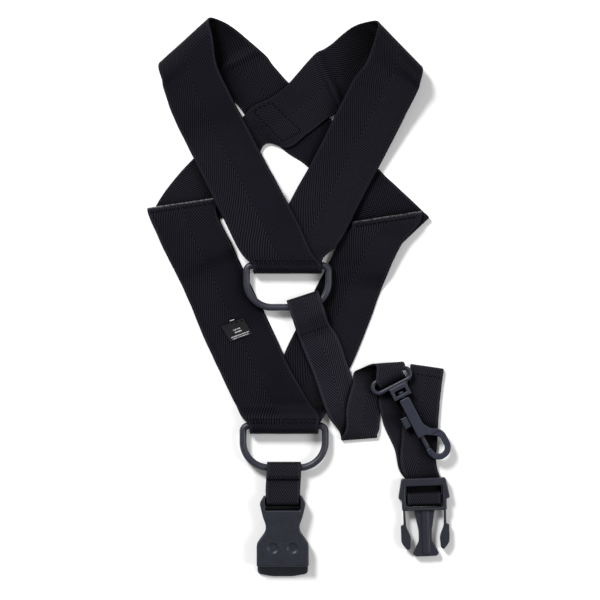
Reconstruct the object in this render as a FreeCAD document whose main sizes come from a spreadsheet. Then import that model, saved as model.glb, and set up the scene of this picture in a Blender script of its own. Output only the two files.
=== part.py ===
"""Saxophone harness strap, laid flat: two wide shoulder straps that cross at the back and meet on
two D-rings, a narrow tether with a bolt-snap hook, and the two halves of a side-release buckle.

Millimetres. The strap lies on the plane z = 0 with its upper ring towards +Y of its lower ring.
The origin is at the middle of the whole outline, on that plane.
"""
import FreeCAD, Part
import math
import operator
import os

import Sketcher

Vector = FreeCAD.Vector
UP = Vector(0, 0, 1)

# Driving dimensions, in millimetres and degrees.
SIZES = {
    # webbing
    "web_thickness": 1.6,
    "web_gap": 0.15,
    # D-rings: the straight bar, and the bow below it
    "ring_wire": 5.0,
    "ring_span": 59.0,
    "ring_depth": 30.0,
    "ring_shoulder_radius": 4.0,
    "ring_bow_radius": 18.5,
    "ring_height": 5.9,
    "upper_ring_x": -8.0,
    "upper_ring_y": 22.5,
    "lower_ring_x": -10.5,
    "lower_ring_y": -92.5,
    # snap hook: its swivel eye, box and post
    "hook_x": 75.5,
    "hook_y": -73.0,
    "hook_height": 7.0,
    "hook_angle": 27.4,
    "eye_wire": 3.2,
    "eye_span": 29.2,
    "eye_depth": 8.3,
    "eye_corner_radius": 4.1,
    "eye_shift": -2.0,
    "eye_low": 11.55,
    "box_width": 13.4,
    "box_top": 10.4,
    "box_bottom": 1.3,
    "box_wall": 2.5,
    "box_window": 3.4,
    "box_depth": 6.0,
    "post_radius": 1.7,
    "post_head_radius": 2.6,
    "post_head_length": 1.8,
    "running_gap": 0.09,
    # snap hook: its bar, loop, gate and spring
    "bar_width": 7.5,
    "bar_length": 30.0,
    "hook_thickness": 6.0,
    "gate_across": -0.9,
    "gate_radius": 1.65,
    "gate_tip": 39.4,
    "bore_top": 1.4,
    "gate_top": 13.0,
    "knob_top": 12.0,
    "knob_length": 8.0,
    "knob_reach": 9.2,
    "knob_width": 3.9,
    "neck_width": 2.0,
    "gate_travel": 8.0,
    "spring_radius": 1.05,
    "spring_wire": 0.45,
    "spring_turns": 5.0,
    # buckle plug
    "plug_x": 89.5,
    "plug_y": -130.0,
    "plug_angle": 2.0,
    "plug_height": 8.0,
    "plug_top_half": 15.9,
    "plug_skirt_half": 18.3,
    "plug_skirt_end": 14.9,
    "plug_rail_half": 16.05,
    "plug_window_half": 13.3,
    "plug_window_top": 5.6,
    "plug_window_end": 21.2,
    "plug_base_end": 23.2,
    "plug_channel": 3.8,
    "adjuster_top": 12.4,
    "adjuster_end": 17.4,
    "adjuster_low": 1.7,
    "adjuster_high": 5.0,
    "guide_low": 2.4,
    "guide_high": 5.6,
    "guide_root_half": 7.6,
    "guide_waist_half": 4.8,
    "guide_waist_top": 38.0,
    "guide_waist_end": 45.0,
    "guide_flare_half": 9.7,
    "guide_flare_at": 54.5,
    "guide_end": 56.3,
    "guide_ridge_half": 2.2,
    "guide_ridge_high": 6.7,
    "prong_low": 1.7,
    "prong_high": 6.3,
    "prong_arm_inner": 14.0,
    "prong_arm_outer": 15.4,
    "prong_head_top": 33.1,
    "prong_head_outer": 17.4,
    "prong_head_inner": 10.3,
    "prong_head_end": 51.8,
    "piece_gap": 0.05,
    # buckle socket
    "socket_x": -11.5,
    "socket_y": -142.5,
    "socket_height": 10.5,
    "socket_top_half": 12.5,
    "socket_ear_half": 16.6,
    "socket_ear_at": 5.5,
    "socket_slot_half": 14.0,
    "socket_slot_end": 10.5,
    "slot_back_high": 1.2,
    "socket_bar_at": 4.5,
    "socket_bar_radius": 1.6,
    "socket_bar_height": 5.2,
    "socket_waist_half": 11.1,
    "socket_waist_at": 24.2,
    "socket_flare_half": 18.7,
    "socket_flare_at": 34.4,
    "socket_front_end": 50.8,
    "socket_lip_end": 58.5,
    "socket_lip_half": 18.2,
    "socket_lip_high": 2.3,
    "socket_wall": 2.3,
    "mouth_half": 16.4,
    "mouth_end": 22.0,
    "guide_pocket_half": 10.3,
    "guide_pocket_end": 16.5,
    "dimple_radius": 3.5,
    "dimple_across": 7.0,
    "dimple_at": 37.5,
    "dimple_depth": 0.8,
    # label and stitches
    "label_width": 17.0,
    "label_length": 13.0,
    "label_thickness": 0.35,
    "label_x": -44.0,
    "label_y": -24.3,
    "label_height": 2.05,
    "label_angle": 16.0,
    "stitch_length": 2.2,
    "stitch_width": 0.6,
    "stitch_height": 0.35,
    "stitch_pitch": 3.2,
    "stitch_lift": 0.06,
}

OPERATORS = {"+": operator.add, "-": operator.sub, "*": operator.mul, "/": operator.truediv}


class Size:
    """A number that also holds the sheet expression it comes from."""

    def __init__(self, value, text):
        self.value = value
        self.text = text

    def __add__(self, other):
        return combined(self, "+", other)

    def __radd__(self, other):
        return combined(other, "+", self)

    def __sub__(self, other):
        return combined(self, "-", other)

    def __rsub__(self, other):
        return combined(other, "-", self)

    def __mul__(self, other):
        return combined(self, "*", other)

    def __rmul__(self, other):
        return combined(other, "*", self)

    def __truediv__(self, other):
        return combined(self, "/", other)

    def __neg__(self):
        return combined(0, "-", self)


def as_size(number):
    """A plain number as a Size, and a Size as it is."""
    if isinstance(number, Size):
        return number
    return Size(float(number), f"({number:g})")


def combined(left, sign, right):
    left = as_size(left)
    right = as_size(right)
    return Size(OPERATORS[sign](left.value, right.value), f"({left.text} {sign} {right.text})")


def make_sheet(doc):
    """Put every driving dimension in the sheet and return them by name."""
    sheet = doc.addObject("Spreadsheet::Sheet", "Dims")
    for row, (name, number) in enumerate(SIZES.items(), start=1):
        sheet.set(f"A{row}", name)
        sheet.set(f"B{row}", str(number))
        sheet.setAlias(f"B{row}", name)
    doc.recompute()
    return {name: Size(float(sheet.get(name)), f"Dims.{name}") for name in SIZES}


doc = FreeCAD.newDocument("NeckStrap")
dim = make_sheet(doc)


def num(name):
    """The plain value of one driving dimension."""
    return dim[name].value


# ---------------------------------------------------------------- PartDesign helpers


def bind(obj, prop, number):
    """Tie one property of an object to the sheet."""
    obj.setExpression(prop, as_size(number).text)


def new_body(name):
    body = doc.addObject("PartDesign::Body", name)
    body.Label = name
    return body


def new_sketch(body, name, plane, offset=0):
    """A sketch on one of the body's own origin planes, moved along the plane's normal."""
    sketch = body.newObject("Sketcher::SketchObject", name)
    support = [item for item in body.Origin.OriginFeatures if item.Role == plane][0]
    sketch.AttachmentSupport = (support, [""])
    sketch.MapMode = "FlatFace"
    bind(sketch, "AttachmentOffset.Base.z", offset)
    return sketch


def pin(sketch, element, point, x, y):
    """Fix a point of a sketch element at sheet-driven coordinates."""
    for kind, number in (("DistanceX", x), ("DistanceY", y)):
        number = as_size(number)
        index = sketch.addConstraint(Sketcher.Constraint(kind, -1, 1, element, point, number.value))
        sketch.setExpression(f"Constraints[{index}]", number.text)


def set_radius(sketch, element, radius):
    radius = as_size(radius)
    index = sketch.addConstraint(Sketcher.Constraint("Radius", element, radius.value))
    sketch.setExpression(f"Constraints[{index}]", radius.text)


def corner_arc(before, corner, after, radius):
    """The arc that rounds a corner, where it leaves both edges, and its sense of turn."""
    incoming = (corner - before).normalize()
    outgoing = (after - corner).normalize()
    turn = incoming.getAngle(outgoing)
    reach = radius * math.tan(turn / 2)
    start = corner - incoming * reach
    end = corner + outgoing * reach
    left_turn = incoming.cross(outgoing).z > 0
    inward = UP.cross(incoming) * (1 if left_turn else -1)
    centre = start + inward * radius
    angles = [math.atan2(point.y - centre.y, point.x - centre.x) for point in (start, end)]
    if not left_turn:
        angles.reverse()
    arc = Part.ArcOfCircle(Part.Circle(centre, UP, radius), angles[0], angles[1])
    return arc, start, end, left_turn


def outline(sketch, corners, closed=True):
    """Draw edges through (x, y, radius) corners, rounded wherever the radius isn't zero."""
    count = len(corners)
    places = [Vector(as_size(x).value, as_size(y).value, 0) for x, y, _ in corners]
    radii = [as_size(radius) for _, _, radius in corners]
    legs = count if closed else count - 1
    guides = []
    for i in range(legs):
        line = Part.LineSegment(places[i], places[(i + 1) % count])
        guides.append(sketch.addGeometry(line, True))
    for i in range(legs if closed else legs - 1):
        sketch.addConstraint(Sketcher.Constraint("Coincident", guides[i], 2, guides[(i + 1) % legs], 1))
    for i, (x, y, _) in enumerate(corners):
        if i < legs:
            pin(sketch, guides[i], 1, x, y)
        else:
            pin(sketch, guides[-1], 2, x, y)
    arcs = {}
    starts = list(places)
    ends = list(places)
    for i in range(count):
        if radii[i].value:
            made = corner_arc(places[i - 1], places[i], places[(i + 1) % count], radii[i].value)
            arcs[i] = (made[0], made[3])
            ends[i] = made[1]
            starts[i] = made[2]
    edges = []
    for i in range(legs):
        edges.append(sketch.addGeometry(Part.LineSegment(starts[i], ends[(i + 1) % count]), False))
        last = (i + 1) % count
        for point, corner in ((1, i), (2, last)):
            if corner in arcs:
                sketch.addConstraint(Sketcher.Constraint("PointOnObject", edges[i], point, guides[i]))
            else:
                sketch.addConstraint(Sketcher.Constraint("Coincident", edges[i], point, guides[i], point))
    for i, (arc, left_turn) in arcs.items():
        element = sketch.addGeometry(arc, False)
        first, second = (1, 2) if left_turn else (2, 1)
        sketch.addConstraint(Sketcher.Constraint("Tangent", edges[i - 1], 2, element, first))
        sketch.addConstraint(Sketcher.Constraint("Tangent", edges[i], 1, element, second))
        set_radius(sketch, element, radii[i])


def plate(body, name, corners, low, high):
    """Pad an outline from one height to another."""
    sketch = new_sketch(body, f"{name}_outline", "XY_Plane", low)
    outline(sketch, corners)
    pad = body.newObject("PartDesign::Pad", name)
    pad.Profile = sketch
    bind(pad, "Length", high - low)
    doc.recompute()


def cut_plate(body, name, corners, low, high):
    """Remove an outline's space from one height to another."""
    before = body.Shape.Volume
    sketch = new_sketch(body, f"{name}_outline", "XY_Plane", low)
    outline(sketch, corners)
    pocket = body.newObject("PartDesign::Pocket", name)
    pocket.Profile = sketch
    pocket.Reversed = True
    bind(pocket, "Length", high - low)
    doc.recompute()
    assert body.Shape.Volume < before, name


def block(body, name, low, high, kind="Additive"):
    """A box between two corners, added to or taken from the body."""
    box = body.newObject(f"PartDesign::{kind}Box", name)
    for prop, first, last in zip(("Length", "Width", "Height"), low, high):
        bind(box, prop, last - first)
    for axis, start in zip("xyz", low):
        bind(box, f"Placement.Base.{axis}", start)
    doc.recompute()


AXIS_TURNS = {"x": FreeCAD.Rotation(Vector(0, 1, 0), 90), "y": FreeCAD.Rotation(Vector(1, 0, 0), 90),
              "z": FreeCAD.Rotation()}


def rod(body, name, start, axis, radius, length, kind="Additive"):
    """A cylinder along +X, -Y or +Z from its start point."""
    cylinder = body.newObject(f"PartDesign::{kind}Cylinder", name)
    cylinder.Placement = FreeCAD.Placement(Vector(), AXIS_TURNS[axis])
    bind(cylinder, "Radius", radius)
    bind(cylinder, "Height", length)
    for letter, number in zip("xyz", start):
        bind(cylinder, f"Placement.Base.{letter}", number)
    doc.recompute()


def pipe(body, name, corners, radius, closed):
    """Sweep a round wire along an outline in the body's XY plane that leaves its start along X."""
    path = new_sketch(body, f"{name}_path", "XY_Plane")
    outline(path, corners, closed)
    start_x, start_y, _ = corners[0]
    section = new_sketch(body, f"{name}_section", "YZ_Plane", start_x)
    middle = Vector(as_size(start_y).value, 0, 0)
    circle = section.addGeometry(Part.Circle(middle, UP, as_size(radius).value), False)
    pin(section, circle, 3, start_y, 0)
    set_radius(section, circle, radius)
    sweep = body.newObject("PartDesign::AdditivePipe", name)
    sweep.Profile = section
    sweep.Spine = (path, [""])
    doc.recompute()


def place(obj, x, y, z=0, angle=0):
    """Put a finished piece where it belongs, turned about +Z."""
    obj.Placement = FreeCAD.Placement(Vector(), FreeCAD.Rotation(UP, 1))
    bind(obj, "Placement.Rotation.Angle", angle)
    for axis, number in zip("xyz", (x, y, z)):
        bind(obj, f"Placement.Base.{axis}", number)
    doc.recompute()


def mirrored(corners):
    """Add the left half of a symmetric outline to its right half, given from top to bottom."""
    return corners + [(-x, y, radius) for x, y, radius in reversed(corners)]


# ---------------------------------------------------------------- rings, hook and buckle


def make_d_ring(name, x, y):
    """Round wire bent into a D: the straight bar lies on the body's X axis, the bow below it."""
    body = new_body(name)
    half = dim["ring_span"] / 2
    low = -dim["ring_depth"]
    shoulder = dim["ring_shoulder_radius"]
    bow = dim["ring_bow_radius"]
    corners = [(0, 0, 0), (half, 0, shoulder), (half, low, bow), (-half, low, bow), (-half, 0, shoulder)]
    pipe(body, "wire", corners, dim["ring_wire"] / 2, True)
    place(body, x, y, dim["ring_height"])
    return body


def make_swivel_eye():
    """A flattened wire eye with an open box below it, where the hook's post turns.

    It is drawn in the hook's own frame, where the hook's bar starts at y = 0 and runs towards -Y.
    """
    body = new_body("snap_swivel_eye")
    middle = dim["eye_shift"]
    right = middle + dim["eye_span"] / 2
    left = middle - dim["eye_span"] / 2
    low = dim["eye_low"]
    high = low + dim["eye_depth"]
    radius = dim["eye_corner_radius"]
    corners = [(middle, low, 0), (right, low, radius), (right, high, radius), (left, high, radius),
               (left, low, radius)]
    pipe(body, "wire", corners, dim["eye_wire"] / 2, True)
    half_box = dim["box_width"] / 2
    half_deep = dim["box_depth"] / 2
    bottom = dim["box_bottom"]
    wall = dim["box_wall"]
    block(body, "box", (-half_box, bottom, -half_deep), (half_box, dim["box_top"], half_deep))
    half_window = half_box - wall
    block(body, "window", (-half_window, bottom + wall, -half_deep - 1),
          (half_window, bottom + wall + dim["box_window"], half_deep + 1), "Subtractive")
    rod(body, "post_hole", (0, bottom + wall + 1, 0), "y", dim["post_radius"] + dim["running_gap"],
        wall + 2, "Subtractive")
    return body


def make_hook():
    """The hook's bar with its loop, bored for the gate and slotted for the gate's neck."""
    body = new_body("snap_hook_body")
    half = dim["bar_width"] / 2
    deep = dim["hook_thickness"] / 2
    length = dim["bar_length"]
    corners = [(-half, 0, 1), (half, 0, 1), (half, -22.0, 6), (7.2, -27.6, 8), (14.9, -31.5, 9),
               (14.9, -50.6, 9), (0.2, -51.4, 8), (-2.7, -43.6, 1.5), (-2.7, -39.6, 0.6),
               (0.7, -39.6, 0.6), (2.6, -47.0, 4.2), (10.4, -46.6, 4.2), (10.3, -35.6, 4.2),
               (1.9, -length, 0.8), (-half, -length, 0.8)]
    plate(body, "side", corners, -deep, deep)
    # the loop is thinner than the bar, so both faces step down to it
    for name, low, high in (("face_relief", 2.2, deep + 1), ("back_relief", -deep - 1, -2.2)):
        block(body, name, (-8, -60, low), (20, -length - 1.5, high), "Subtractive")
    head_low = dim["box_bottom"] + dim["box_wall"] + dim["running_gap"]
    head_high = head_low + dim["post_head_length"]
    rod(body, "post", (0, head_low + 1, 0), "y", dim["post_radius"], head_low + 2)
    rod(body, "post_head", (0, head_high, 0), "y", dim["post_head_radius"], dim["post_head_length"])
    rod(body, "gate_bore", (dim["gate_across"], -dim["bore_top"], 0), "y",
        dim["gate_radius"] + dim["running_gap"], length, "Subtractive")
    slot = dim["neck_width"] / 2 + dim["running_gap"]
    slot_top = dim["knob_top"] + 1 - dim["gate_travel"] - dim["running_gap"]
    slot_end = dim["knob_top"] + dim["knob_length"] - 1 + dim["running_gap"]
    block(body, "neck_slot", (-half - 1, -slot_end, -slot), (dim["gate_across"], -slot_top, slot),
          "Subtractive")
    return body


def make_gate():
    """The sprung gate: a round plunger inside the bar and a ridged thumb knob outside it."""
    body = new_body("snap_gate_plunger")
    top = dim["gate_top"]
    rod(body, "plunger", (dim["gate_across"], -top, 0), "y", dim["gate_radius"], dim["gate_tip"] - top)
    half_neck = dim["neck_width"] / 2
    knob_top = dim["knob_top"]
    knob_end = knob_top + dim["knob_length"]
    reach = -dim["knob_reach"]
    inner = -dim["bar_width"] / 2 - dim["running_gap"] - 0.6
    block(body, "neck", (inner - 0.5, 1 - knob_end, -half_neck), (dim["gate_across"], -1 - knob_top, half_neck))
    half_knob = dim["knob_width"] / 2
    block(body, "knob", (reach, -knob_end, -half_knob), (inner, -knob_top, half_knob))
    ridge = dim["knob_length"] / 9
    for i in range(4):
        low = knob_top + ridge * (2 * i + 1)
        block(body, f"groove_{i + 1}", (reach - 1, -low - ridge, -half_knob - 1),
              (reach + ridge, -low, half_knob + 1), "Subtractive")
    return body


def make_gate_spring():
    """The coil spring between the bore's end and the plunger."""
    spring = doc.addObject("Part::Feature", "snap_gate_spring")
    spring.Label = "snap_gate_spring"
    gap = num("running_gap")
    wire = num("spring_wire")
    length = num("gate_top") - num("bore_top") - 2 * gap - wire
    helix = Part.makeHelix(length / num("spring_turns"), length, num("spring_radius"))
    section = Part.makeCircle(wire / 2, Vector(num("spring_radius"), 0, 0), Vector(0, 1, 0))
    coil = Part.Wire(helix).makePipeShell([Part.Wire(section)], True, True)
    top = Vector(num("gate_across"), -num("bore_top") - gap - wire / 2, 0)
    along_bore = FreeCAD.Placement(top, FreeCAD.Rotation(Vector(1, 0, 0), 90))
    spring.Shape = coil.transformGeometry(along_bore.toMatrix())
    return spring


def make_plug_frame():
    """The buckle's male half: a ladder-shaped frame with its web adjuster and a centre guide."""
    body = new_body("buckle_plug_frame")
    high = dim["plug_height"]
    window = dim["plug_window_half"]
    right = [(dim["plug_top_half"], 0, 1.5), (dim["plug_skirt_half"], -dim["plug_skirt_end"] + 2, 4),
             (dim["plug_skirt_half"], -dim["plug_skirt_end"], 0.8),
             (dim["plug_rail_half"], -dim["plug_skirt_end"], 0.5),
             (dim["plug_rail_half"], -dim["plug_base_end"], 0.8)]
    plate(body, "frame", mirrored(right), 0, high)
    openings = [(window, -dim["plug_window_top"], 1), (window, -dim["plug_window_end"], 1)]
    cut_plate(body, "window", mirrored(openings), -1, high + 1)
    channel = [(window, 1, 0), (window, -dim["plug_window_top"] - 1.5, 0)]
    cut_plate(body, "channel", mirrored(channel), -1, dim["plug_channel"])
    reach = window + 1
    block(body, "adjuster", (-reach, -dim["adjuster_end"], dim["adjuster_low"]),
          (reach, -dim["adjuster_top"], dim["adjuster_high"]))
    guide = [(dim["guide_root_half"], -dim["plug_base_end"] + 1, 0),
             (dim["guide_waist_half"], -dim["guide_waist_top"], 14),
             (dim["guide_waist_half"], -dim["guide_waist_end"], 6),
             (dim["guide_flare_half"], -dim["guide_flare_at"], 1.2),
             (dim["guide_flare_half"] - 2.5, -dim["guide_end"], 1.2)]
    plate(body, "guide", mirrored(guide), dim["guide_low"], dim["guide_high"])
    ridge = [(dim["guide_ridge_half"], -dim["plug_base_end"] + 0.5, 0),
             (dim["guide_ridge_half"], -dim["guide_end"] + 2, 1.5)]
    plate(body, "ridge", mirrored(ridge), dim["guide_low"], dim["guide_ridge_high"])
    place(body, dim["plug_x"], dim["plug_y"], 0, dim["plug_angle"])
    return body


def make_prong(name, side):
    """One sprung prong of the plug: a thin arm with a leaf-shaped catch."""
    body = new_body(name)
    root = -dim["plug_base_end"] - dim["piece_gap"]
    head = -dim["prong_head_top"]
    end = -dim["prong_head_end"]
    inner = dim["prong_head_inner"]
    outer = dim["prong_head_outer"]
    corners = [(dim["prong_arm_inner"], root, 0), (dim["prong_arm_outer"], root, 0),
               (dim["prong_arm_outer"], head, 0.4), (outer, head - 0.8, 0.8), (outer, end + 5.5, 7),
               (outer - 4.6, end, 1.2), (inner + 0.6, end + 1.6, 1.5), (inner, end + 9.5, 9),
               (dim["prong_arm_inner"] - 0.6, head - 1.5, 6)]
    corners = [(x * side, y, radius) for x, y, radius in corners]
    plate(body, "leaf", corners, dim["prong_low"], dim["prong_high"])
    place(body, dim["plug_x"], dim["plug_y"], 0, dim["plug_angle"])
    return body


def make_socket():
    """The buckle's female half: a waisted shell with a web bar between two ears."""
    body = new_body("buckle_socket")
    high = dim["socket_height"]
    flare = dim["socket_flare_half"]
    right = [(dim["socket_top_half"] + 1, 0, 2), (dim["socket_ear_half"], -dim["socket_ear_at"], 4),
             (dim["socket_waist_half"] + 3.2, -dim["socket_slot_end"] - 4.5, 12),
             (dim["socket_waist_half"], -dim["socket_waist_at"], 9),
             (flare, -dim["socket_flare_at"], 6), (flare, -dim["socket_front_end"], 1.2)]
    plate(body, "shell", mirrored(right), 0, high)
    lip = [(dim["socket_lip_half"], -dim["socket_front_end"] + 1, 0),
           (dim["socket_lip_half"], -dim["socket_lip_end"] + 2, 3.2),
           (dim["socket_lip_half"] - 11, -dim["socket_lip_end"], 15)]
    plate(body, "lip", mirrored(lip), 0, dim["socket_lip_high"])
    wall = dim["socket_wall"]
    mouth = [(dim["mouth_half"], -dim["mouth_end"], 0.8), (dim["mouth_half"], -dim["socket_lip_end"] - 1, 0)]
    cut_plate(body, "mouth", mirrored(mouth), wall, high - wall)
    pocket = [(dim["guide_pocket_half"], -dim["guide_pocket_end"], 1.5),
              (dim["guide_pocket_half"], -dim["mouth_end"] - 1, 0)]
    cut_plate(body, "guide_pocket", mirrored(pocket), wall, high - wall)
    slot = [(dim["socket_slot_half"] - 1.2, 1, 0), (dim["socket_slot_half"] - 1.2, -dim["socket_slot_end"], 1.2)]
    cut_plate(body, "web_slot", mirrored(slot), -1, high + 1)
    block(body, "slot_back", (-dim["socket_slot_half"], -dim["socket_slot_end"] - 0.5, 0),
          (dim["socket_slot_half"], -dim["socket_bar_at"] - 1.5, dim["slot_back_high"]))
    bar = dim["socket_slot_half"] + 0.5
    rod(body, "web_bar", (-bar, -dim["socket_bar_at"], dim["socket_bar_height"]), "x",
        dim["socket_bar_radius"], bar * 2)
    for name, side in (("left", -1), ("right", 1)):
        cut = body.newObject("PartDesign::SubtractiveCylinder", f"{name}_dimple")
        bind(cut, "Radius", dim["dimple_radius"])
        bind(cut, "Height", 2)
        bind(cut, "Placement.Base.x", dim["dimple_across"] * side)
        bind(cut, "Placement.Base.y", -dim["dimple_at"])
        bind(cut, "Placement.Base.z", high - dim["dimple_depth"])
        doc.recompute()
    place(body, dim["socket_x"], dim["socket_y"])
    return body


# ---------------------------------------------------------------- webbing
#
# A strap is a flat web laid through stations. A station is the pair of points where a line straight
# across the web meets its left and right edges, on the web's middle plane.


def station(left, right, left_height, right_height=None):
    """A line across the web, from two plan points and their heights."""
    if right_height is None:
        right_height = left_height
    return Vector(*left, left_height), Vector(*right, right_height)


def blend_stations(first, last, share):
    return tuple(start + (end - start) * share for start, end in zip(first, last))


def outward_of(left, right, side):
    """The level direction square to a line across the web: towards -Y of a +X line if side is 1."""
    across = right - left
    return Vector(across.y, -across.x, 0).normalize() * side


def around(left, right, height, radius, begin, finish, side=1, steps=8):
    """Stations round a straight bar: 0 degrees is above it, 90 outward of it, 180 below it."""
    left = Vector(*left, height)
    right = Vector(*right, height)
    outward = outward_of(left, right, side)
    turned = []
    for i in range(steps + 1):
        angle = math.radians(begin + (finish - begin) * i / steps)
        shift = outward * (radius * math.sin(angle)) + UP * (radius * math.cos(angle))
        turned.append((left + shift, right + shift))
    return turned


def roll_over(first, last, side, steps=8):
    """Stations of a half turn from one station to another, whose heights differ by its diameter."""
    outward = outward_of(*blend_stations(first, last, 0.5), side)
    turned = []
    for i in range(steps + 1):
        share = i / steps
        angle = math.pi * (share - 0.5)
        pair = []
        for start, end in zip(first, last):
            flat = start + (end - start) * share
            middle = (start.z + end.z) / 2
            radius = (end.z - start.z) / 2
            bulge = outward * (abs(radius) * math.cos(angle))
            pair.append(Vector(flat.x, flat.y, middle + radius * math.sin(angle)) + bulge)
        turned.append(tuple(pair))
    return turned


def folded(left, right, before, after, side, steps=6):
    """Stations of a fold whose outer crease lies on a plan line, from and to the given heights."""
    outward = outward_of(Vector(*left, 0), Vector(*right, 0), side)
    pairs = []
    for heights in (before, after):
        pair = []
        for point, height, low, high in zip((left, right), heights, before, after):
            inset = abs(high - low) / 2 + num("web_thickness") / 2
            pair.append(Vector(*point, height) - outward * inset)
        pairs.append(tuple(pair))
    return roll_over(*pairs, side, steps)


def close_stations(stations, longest=14):
    """Add stations between those that lie far apart, so that a twisted stretch stays even."""
    closer = [stations[0]]
    for first, last in zip(stations, stations[1:]):
        reach = max((end - start).Length for start, end in zip(first, last))
        count = math.ceil(reach / longest)
        closer += [blend_stations(first, last, (i + 1) / count) for i in range(count)]
    return closer


def web_section(stations, i):
    """The four corners of a web's thin section at one station, in order round it."""
    corners = []
    for edge in (0, 1):
        before = stations[max(i - 1, 0)]
        after = stations[min(i + 1, len(stations) - 1)]
        forward = (after[edge] - before[edge]).normalize()
        across = (stations[i][1] - stations[i][0]).normalize()
        normal = across.cross(forward).normalize() * (num("web_thickness") / 2)
        corners.append((stations[i][edge] + normal, stations[i][edge] - normal))
    (left_top, left_low), (right_top, right_low) = corners
    return [left_top, right_top, right_low, left_low]


def flat_face(*corners):
    return Part.Face(Part.makePolygon([*corners, corners[0]]))


def web_solid(sections):
    """One closed solid of flat triangles through a web's sections."""
    first = sections[0]
    last = sections[-1]
    faces = [flat_face(first[0], first[1], first[2]), flat_face(first[0], first[2], first[3]),
             flat_face(last[2], last[1], last[0]), flat_face(last[3], last[2], last[0])]
    for near, far in zip(sections, sections[1:]):
        for side in range(4):
            following = (side + 1) % 4
            if side < 2:
                faces.append(flat_face(near[following], near[side], far[side]))
                faces.append(flat_face(near[following], far[side], far[following]))
            else:
                faces.append(flat_face(near[side], far[side], far[following]))
                faces.append(flat_face(near[side], far[following], near[following]))
    shell = Part.makeShell(faces)
    shell.sewShape()
    solid = Part.makeSolid(shell)
    if solid.Volume < 0:
        solid.reverse()
    return solid


def make_web(name, stations):
    """A piece of webbing through all its stations."""
    web = doc.addObject("Part::Feature", name)
    web.Label = name
    stations = close_stations(stations)
    web.Shape = web_solid([web_section(stations, i) for i in range(len(stations))])
    return web


def bar_ends(x, half):
    return x - half, x + half


INNER_WRAP = num("ring_wire") / 2 + num("web_gap") + num("web_thickness") / 2
OUTER_WRAP = INNER_WRAP + num("web_thickness") + 0.05
RING_LOOP_HALF = 24.6
NARROW_HALF = 12.3
ON_TABLE = num("web_thickness") / 2
RING_Z = num("ring_height")


def ring_loop(x, y, wrap, begin, finish):
    left, right = bar_ends(x, RING_LOOP_HALF)
    return around((left, y), (right, y), RING_Z, wrap, begin, finish)


def left_shoulder_stations():
    """Upper ring, left shoulder, down across the back, right side fold, lower ring."""
    upper_x, upper_y = num("upper_ring_x"), num("upper_ring_y")
    lower_x, lower_y = num("lower_ring_x"), num("lower_ring_y")
    left, right = bar_ends(upper_x, RING_LOOP_HALF)
    top = RING_Z + OUTER_WRAP
    shoulder = (station((-98.5, 157.5), (-62.5, 190), 16.8), station((-90, 165), (-54, 198), ON_TABLE))
    stations = [station((left, 34), (right, 34), RING_Z - OUTER_WRAP)]
    stations += ring_loop(upper_x, upper_y, OUTER_WRAP, 180, 0)
    stations += [
        station((-37.2, 26.5), (13, 26.5), top),
        station((-53, 54), (-0.5, 54), 8.5),
        station((-65.5, 79), (-21.5, 93), 6.4, 6.2),
        station((-79, 106.5), (-38, 124.5), 5.0, 4.8),
        station((-91.5, 133), (-50, 147.5), 10.5),
        station((-97, 150.5), (-59, 168), 14),
    ]
    stations += roll_over(*shoulder, side=-1)
    stations += [
        station((-72, 156), (-28.5, 178), ON_TABLE),
        station((-45, 139), (-17, 165), ON_TABLE),
        station((-38.5, 130.5), (-8.5, 155.5), ON_TABLE),
        station((-23.5, 117.5), (9.5, 141), ON_TABLE),
        station((-10, 105), (24.5, 126.6), ON_TABLE),
        station((6.5, 93.5), (37, 114), ON_TABLE),
        station((23.5, 60), (57.5, 92), ON_TABLE),
    ]
    stations += folded((60, 24.5), (94, 57), (ON_TABLE, ON_TABLE), (3.2, 5.0), side=1)
    stations += folded((37.5, 54), (88.5, 62), (2.5, 3.2), (4.4, 6.2), side=-1)
    stations += [
        station((30.5, 42.5), (76, 41), 3.8, 6.8),
        station((24, 29.5), (69.5, 29.5), 2.8, 6.4),
        station((19.6, 20.5), (65, 19), 0.9, 5.2),
        station((13.5, 9), (58.5, 3), ON_TABLE),
        station((8, -2), (53.5, -11), ON_TABLE),
        station((-7.5, -34.5), (39, -47), ON_TABLE),
        station((-20.5, -62), (32, -60.5), ON_TABLE),
        station((-31, -78.5), (23, -77.5), 0.9),
        station((-36, -89.2), (16, -89.2), RING_Z + INNER_WRAP),
    ]
    stations += ring_loop(lower_x, lower_y, INNER_WRAP, 0, 180)
    left, right = bar_ends(lower_x, RING_LOOP_HALF)
    stations.append(station((left, -87), (right, -87), RING_Z - INNER_WRAP))
    return stations


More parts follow.
